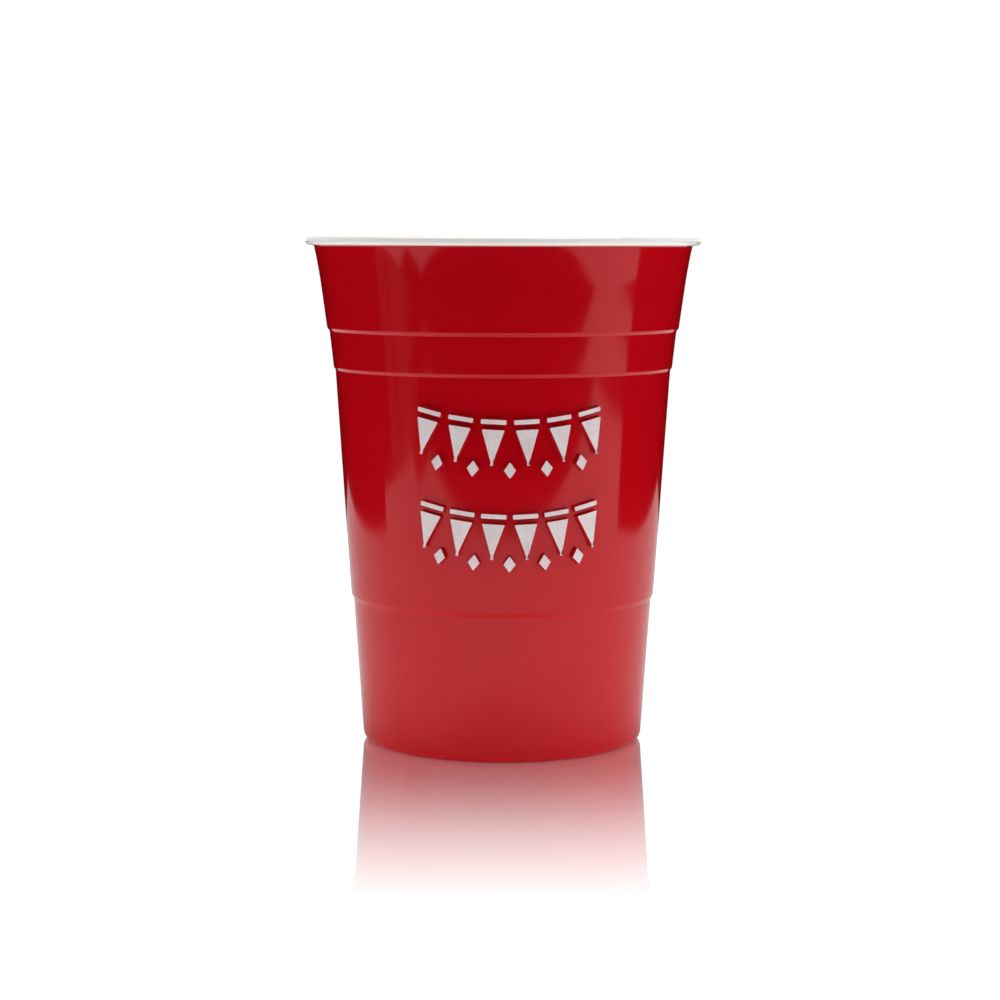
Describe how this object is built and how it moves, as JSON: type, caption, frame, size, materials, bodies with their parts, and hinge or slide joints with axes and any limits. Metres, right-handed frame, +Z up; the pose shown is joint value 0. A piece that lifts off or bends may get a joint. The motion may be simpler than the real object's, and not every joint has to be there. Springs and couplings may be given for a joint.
{
  "type": "plastic party cup",
  "caption": "Tapered round drinking cup with a flared mouth, rounded lip, shallow steps round the wall and a raised pattern of pennants on the front.",
  "frame": {"origin": "centre of the foot ring, on the surface that the cup stands on", "axes": "+Z up along the axis of the cup, -Y towards the front with the raised pattern"},
  "size_m": [0.0942, 0.094, 0.1207],
  "materials": {
    "red_plastic": "polished moulded red, outside of the wall, the foot and the sides of the raised shapes",
    "white_plastic": "polished moulded white, lip and inside of the cup",
    "white_print": "satin off-white ink on the tops of the raised shapes"
  },
  "bodies": {
    "root": {"cup": "red_plastic"}
  },
  "joints": []
}
